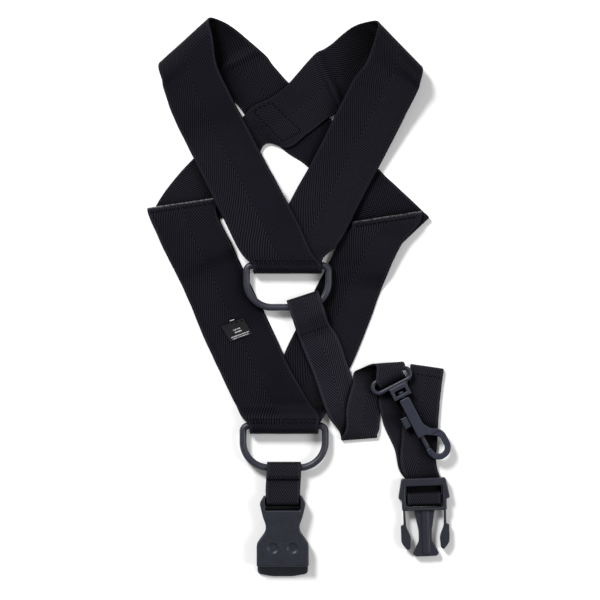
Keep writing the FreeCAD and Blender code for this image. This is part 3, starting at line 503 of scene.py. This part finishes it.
def web_mesh(name, route, width, painted_light_and_wear, seed):
    """A closed mesh of webbing with a map of metres across and along it, and the web's length.

    Each entry in the list is (spot, reach, strength). Above 0 it's a painted highlight along a sharp
    fold, and below 0 it's painted shade inside a roll. The material reads these values back as a
    point attribute named the same as this argument.
    """
    rows = smooth_rows(route, row_gap=1.5 * MM)
    middles = [left.lerp(right, 0.5) for left, right in rows]
    distances = [0]
    for near, far in zip(middles, middles[1:]):
        distances.append(distances[-1] + (far - near).length)
    painted_light_and_wear = [(distance_to(spot, middles, distances), reach, strength) for spot, reach, strength in painted_light_and_wear]
    profile = section_profile(width)
    made = bmesh.new()
    uv = made.loops.layers.uv.new("web")
    places = []
    painted_light_per_point = []
    rings = []
    for i, (row, along) in enumerate(zip(rows, distances)):
        normals = web_normals(rows, i)
        # Painted light at this row: a highlight along sharp folds, shade inside rolls
        painted_light_amount = sum(strength * math.exp(-(((along - place) / reach) ** 2))
                     for place, reach, strength in painted_light_and_wear)
        ring = []
        for share, thickness in profile:
            ring.append(made.verts.new(web_point(share, thickness, row, normals, along, seed)))
            places.append(((share - 0.5) * width, along))
            painted_light_per_point.append(painted_light_amount)
        rings.append(ring)
    made.verts.index_update()
    skin_between(made, rings)
    close_end(made, rings[0])
    close_end(made, rings[-1])
    for face in made.faces:
        face.smooth = True
        for loop in face.loops:
            loop[uv].uv = places[loop.vert.index]
    piece = closed_piece(name, made)
    piece.data.attributes.new("painted_light_and_wear", "FLOAT", "POINT").data.foreach_set("value", painted_light_per_point)
    return piece, distances[-1]


# ---------------------------------------------------------------- materials

# Pale colour of the painted highlight along sharp folds in the webbing, and of the label's pale ink
PALE_INK_AND_HIGHLIGHT = (0.5, 0.5, 0.52, 1)


def new_material(name):
    material = bpy.data.materials.new(name)
    material.use_nodes = True
    return material, material.node_tree, material.node_tree.nodes["Principled BSDF"]


def feed(tree, socket, value):
    """Puts a number, a colour or another node's output into a socket."""
    if isinstance(value, bpy.types.NodeSocket):
        tree.links.new(value, socket)
    else:
        socket.default_value = value


def calc(tree, operation, *values):
    node = tree.nodes.new("ShaderNodeMath")
    node.operation = operation
    for socket, value in zip(node.inputs, values):
        feed(tree, socket, value)
    return node.outputs[0]


def ramp_between(tree, value, low, high):
    """0 below low, 1 above high, smooth between."""
    node = tree.nodes.new("ShaderNodeMapRange")
    node.interpolation_type = "SMOOTHSTEP"
    feed(tree, node.inputs["Value"], value)
    node.inputs["From Min"].default_value = low
    node.inputs["From Max"].default_value = high
    return node.outputs["Result"]


def mix_colour(tree, share, first, second):
    node = tree.nodes.new("ShaderNodeMix")
    node.data_type = "RGBA"
    feed(tree, node.inputs["Factor"], share)
    feed(tree, node.inputs["A"], first)
    feed(tree, node.inputs["B"], second)
    return node.outputs["Result"]


def grain(tree, scale, detail, vector=None):
    """Noise of a size given as features per metre, in the object's own space."""
    if vector is None:
        vector = tree.nodes.new("ShaderNodeTexCoord").outputs["Object"]
    node = tree.nodes.new("ShaderNodeTexNoise")
    node.inputs["Scale"].default_value = scale
    node.inputs["Detail"].default_value = detail
    feed(tree, node.inputs["Vector"], vector)
    return node.outputs["Fac"]


def bump(tree, shader, height, distance, strength):
    node = tree.nodes.new("ShaderNodeBump")
    node.inputs["Strength"].default_value = strength
    node.inputs["Distance"].default_value = distance
    feed(tree, node.inputs["Height"], height)
    tree.links.new(node.outputs["Normal"], shader.inputs["Normal"])


def painted_occlusion_shade(tree, reach, power):
    """Painted shade for a base colour: 1 in the open, less where something stands within reach."""
    nearby = tree.nodes.new("ShaderNodeAmbientOcclusion")
    nearby.samples = 8
    nearby.inputs["Distance"].default_value = reach
    return calc(tree, "POWER", nearby.outputs["AO"], power)


def two_axes(tree):
    parts = tree.nodes.new("ShaderNodeSeparateXYZ")
    coordinates = tree.nodes.new("ShaderNodeTexCoord")
    tree.links.new(coordinates.outputs["Object"], parts.inputs[0])
    return parts.outputs["X"], parts.outputs["Y"]


def wave(tree, place, pitch):
    """A ridge from 0 to 1 and back once each pitch."""
    turns = calc(tree, "MULTIPLY", place, 2 * math.pi / pitch)
    return calc(tree, "MULTIPLY_ADD", calc(tree, "SINE", turns), 0.5, 0.5)


def webbing_material(name, width, rib_gap, lean, points, dark, light):
    """Herringbone webbing: two fields of slanting ribs that meet in a chevron down the middle.

    The ribs lean that many degrees from the web's length, and points is 1 where the chevrons point
    along the web and -1 where they point back.
    """
    steepness = points / math.tan(math.radians(lean))
    pitch = rib_gap / math.sin(math.radians(lean))
    material, tree, shader = new_material(name)
    uv = tree.nodes.new("ShaderNodeUVMap")
    uv.uv_map = "web"
    parts = tree.nodes.new("ShaderNodeSeparateXYZ")
    tree.links.new(uv.outputs["UV"], parts.inputs[0])
    across, along = parts.outputs["X"], parts.outputs["Y"]
    # The weave's relief: slanting ribs over fine yarns, and plain selvedges
    drift = calc(tree, "SUBTRACT", grain(tree, 90, 2, uv.outputs["UV"]), 0.5)
    waver = calc(tree, "MULTIPLY", drift, rib_gap * 0.9)
    from_middle = calc(tree, "ABSOLUTE", across)
    slanted = calc(tree, "MULTIPLY_ADD", from_middle, steepness, calc(tree, "ADD", along, waver))
    rib = wave(tree, slanted, pitch)
    warp = wave(tree, across, 0.62 * MM)
    weft = wave(tree, along, 0.7 * MM)
    yarn = calc(tree, "MULTIPLY_ADD", warp, 0.6, calc(tree, "MULTIPLY", weft, 0.4))
    selvedge = ramp_between(tree, from_middle, width / 2 - 2.4 * MM, width / 2 - 1.6 * MM)
    field = calc(tree, "MULTIPLY_ADD", rib, 0.75, calc(tree, "MULTIPLY", yarn, 0.25))
    height = calc(tree, "ADD", calc(tree, "MULTIPLY", field, calc(tree, "SUBTRACT", 1, selvedge)),
                  calc(tree, "MULTIPLY", calc(tree, "MULTIPLY_ADD", weft, 0.5, 0.4), selvedge))
    # Its tone: the relief with uneven dye, fine fibres and paler selvedges
    blotch = grain(tree, 38, 3)
    fibre = grain(tree, 2600, 2)
    shade = calc(tree, "MULTIPLY", calc(tree, "MULTIPLY_ADD", blotch, 0.9, 0.55),
                 calc(tree, "MULTIPLY_ADD", fibre, 0.7, 0.65))
    tone = calc(tree, "MULTIPLY", calc(tree, "MULTIPLY_ADD", height, 1.5, -0.2), shade)
    edged = calc(tree, "MULTIPLY_ADD", selvedge, 0.22, tone)
    # Painted highlight along sharp creases, and painted shade in hollows and inside rolls
    fold = tree.nodes.new("ShaderNodeAttribute")
    fold.attribute_name = "painted_light_and_wear"
    patchy = ramp_between(tree, grain(tree, 700, 3), 0.3, 0.62)
    # Painted highlight along sharp folds, broken up in patches
    painted_light_amount = calc(tree, "MULTIPLY", calc(tree, "MULTIPLY", fold.outputs["Fac"], patchy), 0.8)
    # Painted shade near contacts and under overlapping webs
    painted_shade_factor = painted_occlusion_shade(tree, 30 * MM, 2.4)
    # Painted shade inside rolls, where the point values fall below 0
    painted_roll_shade = calc(tree, "MINIMUM", calc(tree, "ADD", fold.outputs["Fac"], 1), 1)
    lit = calc(tree, "MULTIPLY", edged, calc(tree, "MULTIPLY", painted_shade_factor, painted_roll_shade))
    cloth = mix_colour(tree, lit, dark, light)
    feed(tree, shader.inputs["Base Color"], mix_colour(tree, painted_light_amount, cloth, PALE_INK_AND_HIGHLIGHT))
    feed(tree, shader.inputs["Roughness"], calc(tree, "MULTIPLY_ADD", blotch, 0.2, 0.42))
    shader.inputs["Specular IOR Level"].default_value = 0.035
    shader.inputs["Sheen Weight"].default_value = 0.008
    shader.inputs["Sheen Roughness"].default_value = 0.45
    shader.inputs["Sheen Tint"].default_value = (0.7, 0.72, 0.9, 1)
    bump(tree, shader, calc(tree, "MULTIPLY_ADD", fibre, 0.12, height), 0.35 * MM, 0.9)
    return material


def plastic_material(name, dark, light, roughness):
    """Moulded plastic: a fine spark-eroded grain, faint mottling, painted highlights on its edges and
    painted shade in nooks.
    """
    material, tree, shader = new_material(name)
    mottle = grain(tree, 140, 4)
    fine = grain(tree, 900, 3)
    pits = grain(tree, 4200, 2)
    edge = tree.nodes.new("ShaderNodeNewGeometry").outputs["Pointiness"]
    # Painted highlight on sharp edges, where pointiness is high
    painted_light_amount = calc(tree, "MULTIPLY", ramp_between(tree, edge, 0.51, 0.58), 0.45)
    # Painted shade where parts stand close
    painted_shade_factor = painted_occlusion_shade(tree, 5 * MM, 1.8)
    tone = calc(tree, "MULTIPLY_ADD", mottle, 0.35, calc(tree, "MULTIPLY", fine, 0.5))
    shade = calc(tree, "MULTIPLY", calc(tree, "ADD", tone, painted_light_amount), painted_shade_factor)
    feed(tree, shader.inputs["Base Color"], mix_colour(tree, shade, dark, light))
    feed(tree, shader.inputs["Roughness"], calc(tree, "MULTIPLY_ADD", fine, 0.22, roughness))
    shader.inputs["Specular IOR Level"].default_value = 0.4
    height = calc(tree, "MULTIPLY_ADD", pits, 0.45, calc(tree, "MULTIPLY", fine, 0.55))
    bump(tree, shader, height, 0.08 * MM, 0.5)
    return material


def thread_material():
    """Black polyester thread with its twist."""
    material, tree, shader = new_material("black thread")
    twist = wave(tree, calc(tree, "ADD", *two_axes(tree)), 0.5 * MM)
    tone = calc(tree, "MULTIPLY_ADD", twist, 0.6, 0.15)
    colour = mix_colour(tree, tone, (0.0005, 0.0005, 0.0008, 1), (0.004, 0.004, 0.006, 1))
    feed(tree, shader.inputs["Base Color"], colour)
    feed(tree, shader.inputs["Roughness"], calc(tree, "MULTIPLY_ADD", twist, -0.15, 0.65))
    shader.inputs["Specular IOR Level"].default_value = 0.03
    bump(tree, shader, twist, 0.1 * MM, 0.7)
    return material


def satin_material():
    """Black label ribbon: very fine ribs across it and a soft gloss."""
    material, tree, shader = new_material("black satin ribbon")
    x, y = two_axes(tree)
    ribs = wave(tree, calc(tree, "MULTIPLY_ADD", x, 0.28, y), 0.45 * MM)
    cloud = grain(tree, 260, 3)
    tone = calc(tree, "MULTIPLY_ADD", ribs, 0.4, calc(tree, "MULTIPLY", cloud, 0.5))
    colour = mix_colour(tree, tone, (0.002, 0.002, 0.0025, 1), (0.012, 0.0125, 0.015, 1))
    feed(tree, shader.inputs["Base Color"], colour)
    feed(tree, shader.inputs["Roughness"], calc(tree, "MULTIPLY_ADD", cloud, 0.25, 0.3))
    shader.inputs["Specular IOR Level"].default_value = 0.2
    bump(tree, shader, ribs, 0.05 * MM, 0.6)
    return material


def print_material():
    """Worn pale ink."""
    material, tree, shader = new_material("pale label ink")
    painted_light_and_wear = ramp_between(tree, grain(tree, 1800, 3), 0.32, 0.6)
    feed(tree, shader.inputs["Base Color"], mix_colour(tree, painted_light_and_wear, (0.04, 0.04, 0.045, 1), PALE_INK_AND_HIGHLIGHT))
    shader.inputs["Roughness"].default_value = 0.6
    bump(tree, shader, painted_light_and_wear, 0.03 * MM, 0.4)
    return material


def steel_material():
    """Drawn spring wire."""
    material, tree, shader = new_material("drawn steel wire")
    streak = grain(tree, 1500, 4)
    colour = mix_colour(tree, streak, (0.32, 0.33, 0.35, 1), (0.62, 0.63, 0.65, 1))
    feed(tree, shader.inputs["Base Color"], colour)
    shader.inputs["Metallic"].default_value = 1
    feed(tree, shader.inputs["Roughness"], calc(tree, "MULTIPLY_ADD", streak, 0.3, 0.2))
    bump(tree, shader, streak, 0.02 * MM, 0.4)
    return material


WIDE_CLOTH = {"width": WIDE_WEB, "rib_gap": 1.5 * MM, "lean": 27,
              "dark": (0.0001, 0.0001, 0.0003, 1), "light": (0.0118, 0.0112, 0.0172, 1)}
NARROW_CLOTH = {"width": NARROW_WEB, "rib_gap": 1.4 * MM, "lean": 30,
                "dark": (0.0001, 0.0001, 0.0002, 1), "light": (0.0215, 0.0208, 0.0295, 1)}
WIDE_UP = webbing_material("wide herringbone webbing", points=1, **WIDE_CLOTH)
WIDE_BACK = webbing_material("wide herringbone webbing reversed", points=-1, **WIDE_CLOTH)
NARROW_UP = webbing_material("narrow herringbone webbing", points=1, **NARROW_CLOTH)
NARROW_BACK = webbing_material("narrow herringbone webbing reversed", points=-1, **NARROW_CLOTH)
RING = plastic_material("slate ring plastic", (0.004, 0.0045, 0.008, 1), (0.036, 0.037, 0.06, 1), 0.34)
HOOK = plastic_material("slate hook plastic", (0.002, 0.0025, 0.005, 1), (0.034, 0.038, 0.066, 1), 0.3)
BUCKLE = plastic_material("slate buckle plastic", (0.002, 0.0025, 0.004, 1), (0.022, 0.025, 0.041, 1), 0.32)
THREAD = thread_material()
SATIN = satin_material()
INK = print_material()
STEEL = steel_material()


def dress(piece, material):
    """Gives a piece one material on all its faces."""
    piece.data.materials.clear()
    piece.data.materials.append(material)


# ---------------------------------------------------------------- pieces of webbing


def add_web(name, route, width, material, node, seed, painted_light_and_wear=()):
    """A web as a piece that stands for its CAD node, and its length in metres."""
    piece, length = web_mesh(name, route, width, painted_light_and_wear, seed)
    dress(piece, material)
    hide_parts(node)
    return piece, length


# ---------------------------------------------------------------- stitches


def add_thread(made, start, end, radius, rise):
    """One stitch: a short round thread that rises out of the cloth and goes back into it."""
    along = (end - start).normalized()
    side = Vector((0, 0, 1)).cross(along).normalized()
    rings = []
    steps, sides = 6, 6
    for i in range(steps + 1):
        share = i / steps
        middle = start.lerp(end, share) + Vector((0, 0, rise * math.sin(math.pi * share) - rise * 0.7))
        girth = radius * (0.55 + 0.45 * math.sin(math.pi * share))
        ring = []
        for j in range(sides):
            angle = 2 * math.pi * j / sides
            ring.append(made.verts.new(middle + side * (girth * math.cos(angle))
                                       + Vector((0, 0, girth * math.sin(angle)))))
        rings.append(ring)
    skin_between(made, rings)
    made.faces.new(reversed(rings[0]))
    made.faces.new(rings[-1])


def add_stitches(node, rows, body):
    """All the threads of one sewn place, as one piece that stands for its CAD node."""
    pitch, length, radius, rise = 3.2 * MM, 2.6 * MM, 0.25 * MM, 0.35 * MM
    made = bmesh.new()
    for start, end in rows:
        start, end = Vector(start) * MM, Vector(end) * MM
        count = max(1, round((end - start).length / pitch))
        along = (end - start).normalized()
        for i in range(count):
            middle = start.lerp(end, (i + 0.5) / count)
            add_thread(made, middle - along * length / 2, middle + along * length / 2, radius, rise)
    for face in made.faces:
        face.smooth = True
    piece = closed_piece(node + "_threads", made)
    dress(piece, THREAD)
    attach(piece, body)
    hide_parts(node)


# Heights of the cloth under the threads, and each sewn place's body and lines of stitches
SEAM_TOP = RING_Z + OUTER + FLOOR
CROSS_TOP = 2.5 + FLOOR
STEP_TOP = RING_Z + INNER + FLOOR
LOOP_TOP = 4.2 + FLOOR
TAIL_TOP = SECOND + FLOOR
SIDE_TOP, SIDE_HIGHEST = 5.3, 7.2
CROSS_CORNERS = [(-20, 140, CROSS_TOP), (-32.5, 133.5, CROSS_TOP), (-11.5, 111.5, CROSS_TOP),
                 (1.5, 119.5, CROSS_TOP)]
STITCHES = {
    "upper_ring_stitches": ("harness", [
        ((-32, 25.7, SEAM_TOP), (12, 25.7, SEAM_TOP)),
        ((-31, 23.6, SEAM_TOP), (13, 23.6, SEAM_TOP))]),
    "lower_ring_stitches": ("harness", [
        ((-34, -87.6, SEAM_TOP), (12.5, -87.6, SEAM_TOP)),
        ((-34, -90.2, SEAM_TOP), (12.5, -90.2, SEAM_TOP))]),
    "back_cross_stitches": ("harness", list(zip(CROSS_CORNERS, CROSS_CORNERS[1:] + CROSS_CORNERS[:1]))),
    "tether_loop_stitches": ("tether", [((0.8, -27.5, LOOP_TOP), (21.3, -20.8, LOOP_TOP))]),
    "tether_hem_stitches": ("tether", [((81, -55, TAIL_TOP), (102.8, -58.2, TAIL_TOP))]),
    "link_web_stitches": ("link_web", [((-22.5, -128.8, STEP_TOP), (0.2, -128.8, STEP_TOP))]),
    "left_side_stitches": ("harness", [((-106.5, 60.5, SIDE_TOP), (-60, 67.5, SIDE_TOP))]),
    "right_side_stitches": ("harness", [((40.5, 50.5, SIDE_TOP), (84, 57.3, SIDE_HIGHEST))]),
}


# ---------------------------------------------------------------- label

# The label's place, turn, size and seam. It's a skewed panel that curls across and along.
LABEL_PLACE, LABEL_TURN = (-44.6, -23.7), 20
LABEL_WIDTH, LABEL_LENGTH = 17, 13
LABEL_LEAN = 0.2
LABEL_CURL = 0.12
LABEL_SEAM = [((-53.2, -20.6, 2.5), (-39.5, -16.7, 2.5))]


def label_patch(name, size, corner, lift, material, curl=LABEL_CURL):
    """A thin panel on the label: its size and low corner are in the label's own plan frame."""
    wide, long = size
    thickness = 0.16
    made = bmesh.new()
    columns, lines = 10, 8
    grid = {}
    for side, height in (("top", thickness), ("low", 0.0)):
        for i in range(columns + 1):
            for j in range(lines + 1):
                u, v = i / columns, j / lines
                across = corner[0] + u * wide
                up = corner[1] + v * long
                x, y = turned_point(LABEL_PLACE, LABEL_TURN, across - LABEL_LEAN * up, up)
                rise = curl * (math.cos(across / LABEL_WIDTH * 5.2 + 0.6) + 1.6 * v * v)
                grid[side, i, j] = made.verts.new(Vector((x, y, lift + height + rise)) * MM)
    for i in range(columns):
        for j in range(lines):
            for side in ("top", "low"):
                corners = [(i, j), (i + 1, j), (i + 1, j + 1), (i, j + 1)]
                made.faces.new([grid[side, k, m] for k, m in corners])
    rim = ([(i, 0) for i in range(columns)] + [(columns, j) for j in range(lines)]
           + [(i, lines) for i in range(columns, 0, -1)] + [(0, j) for j in range(lines, 0, -1)])
    for (i, j), (k, m) in zip(rim, rim[1:] + rim[:1]):
        made.faces.new([grid["top", i, j], grid["low", i, j], grid["low", k, m], grid["top", k, m]])
    piece = closed_piece(name, made)
    dress(piece, material)
    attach(piece, "harness")
    return piece


# ---------------------------------------------------------------- build

# Each web's list gives spots of painted highlight along sharp folds (strength above 0) and painted shade
# inside rolls (below 0)
left_web, left_length = add_web(
    "left_shoulder_webbing", left_shoulder_route(), WIDE_WEB, WIDE_UP,
    "left_shoulder_strap", seed=3,
    painted_light_and_wear=[((63.2, 57.2, 4.5), 0.7 * MM, 0.28), ((-72, 181.5, 0.8), 20 * MM, -0.6)])
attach(left_web, "harness")
right_web, right_length = add_web(
    "right_shoulder_webbing", right_shoulder_route(), WIDE_WEB, WIDE_BACK,
    "right_shoulder_strap", seed=11,
    painted_light_and_wear=[((-82.2, 67.2, 3.5), 0.7 * MM, 0.75), ((61.5, 180.5, 0.8), 34 * MM, -0.6)])
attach(right_web, "harness")

# The tether's two lengths, each with its placement baked into its mesh
RING_END, BUCKLE_END = tether_routes()
tether_top, top_length = add_web(
    "tether_ring_webbing", RING_END, NARROW_WEB, NARROW_UP,
    "tether_strap", seed=23)
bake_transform(tether_top)
tether_web, tether_length = add_web(
    "tether_webbing", BUCKLE_END, NARROW_WEB, NARROW_UP,
    "tether_strap", seed=23,
    painted_light_and_wear=[((57, -52.2, 2.2), 9 * MM, -0.98), ((92.4, -50.6, 1.7), 0.7 * MM, 0.08)])
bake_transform(tether_web)
link_web, link_length = add_web(
    "socket_link_webbing", link_route(), NARROW_WEB, NARROW_BACK,
    "socket_link_web", seed=31)
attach(link_web, "link_web")

for node, (body, rows) in STITCHES.items():
    add_stitches(node, rows, body)

label = label_patch("size_tab", (LABEL_WIDTH, LABEL_LENGTH), (-LABEL_WIDTH / 2, -LABEL_LENGTH / 2),
                    2.1, SATIN)
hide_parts("size_label")
# Each bar of plain print: its low corner, width and length
PRINT_BARS = [(-2.3, 0.1, 5.2, 0.9), (-2.3, -1.9, 5.2, 0.9),
              (-6.5, -4.3, 13.6, 0.7), (-6.0, -5.7, 12.4, 0.6)]
for i, (x, y, wide, long) in enumerate(PRINT_BARS, start=1):
    label_patch(f"label_print_{i}", (wide, long), (x, y), 2.2, INK)
label_patch("label_print_dash", (3.6, 0.6), (-1.2, 7.4), 2.3, INK, curl=0)
add_stitches("label_stitches", LABEL_SEAM, "harness")

HARDWARE = {
    "upper_d_ring": RING, "lower_d_ring": RING, "snap_swivel_eye": HOOK, "snap_hook_body": HOOK,
    "snap_gate_plunger": HOOK, "snap_gate_spring": STEEL, "buckle_plug_frame": BUCKLE,
    "buckle_left_prong": BUCKLE, "buckle_right_prong": BUCKLE, "buckle_socket": BUCKLE,
}
# Where a moulding's edges are rounded, and how finely, in millimetres
ROUNDED = {
    "snap_swivel_eye": 0.3, "snap_hook_body": 0.3, "snap_gate_plunger": 0.22, "buckle_plug_frame": 0.35,
    "buckle_left_prong": 0.25, "buckle_right_prong": 0.25, "buckle_socket": 0.38,
}
for node, material in HARDWARE.items():
    dress(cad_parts[node], material)
for node, grid in ROUNDED.items():
    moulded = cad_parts[node].modifiers.new("even skin", "REMESH")
    moulded.mode = "VOXEL"
    moulded.voxel_size = grid * MM
    moulded.use_smooth_shade = True
    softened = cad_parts[node].modifiers.new("moulded edges", "SMOOTH")
    softened.factor = 0.5
    softened.iterations = 12


# ---------------------------------------------------------------- floor, light and camera


def make_floor():
    """A plain pale sheet, four metres from its middle to each edge."""
    made = bmesh.new()
    bmesh.ops.create_grid(made, x_segments=4, y_segments=4, size=4)
    floor = new_piece("floor", made)
    material, tree, shader = new_material("pale floor")
    colour = mix_colour(tree, grain(tree, 5, 2), (0.90, 0.90, 0.905, 1), (0.93, 0.93, 0.93, 1))
    feed(tree, shader.inputs["Base Color"], colour)
    shader.inputs["Roughness"].default_value = 0.9
    shader.inputs["Specular IOR Level"].default_value = 0.1
    dress(floor, material)


def make_lamp(name, place, size, power):
    """A soft round lamp that faces the middle of the floor."""
    data = bpy.data.lights.new(name, "AREA")
    data.shape = "DISK"
    data.size = size
    data.energy = power
    lamp = bpy.data.objects.new(name, data)
    lamp.location = place
    lamp.rotation_mode = "QUATERNION"
    lamp.rotation_quaternion = (-Vector(place)).to_track_quat("-Z", "Y")
    bpy.context.scene.collection.objects.link(lamp)


def make_world():
    """Even white light from all round."""
    world = bpy.data.worlds.new("studio")
    world.use_nodes = True
    background = world.node_tree.nodes["Background"]
    background.inputs["Color"].default_value = (1, 1, 1, 1)
    background.inputs["Strength"].default_value = 0.33
    bpy.context.scene.world = world
    bpy.context.scene.view_settings.view_transform = "Standard"


def make_camera():
    """Straight above, high enough to look nearly parallel."""
    height, view_width, sensor = 1.9, 0.432, 0.036
    data = bpy.data.cameras.new("camera")
    data.sensor_width = sensor / MM
    data.lens = sensor / MM * height / view_width
    data.clip_start = 0.01
    camera = bpy.data.objects.new("camera", data)
    camera.location = (0.0009, -0.0022, height)
    bpy.context.scene.collection.objects.link(camera)
    bpy.context.scene.camera = camera


make_floor()
make_lamp("key", (-0.8, 1.1, 1.3), size=0.6, power=42)
make_lamp("fill", (1.3, -0.2, 1.1), size=0.9, power=13)
make_world()
make_camera()
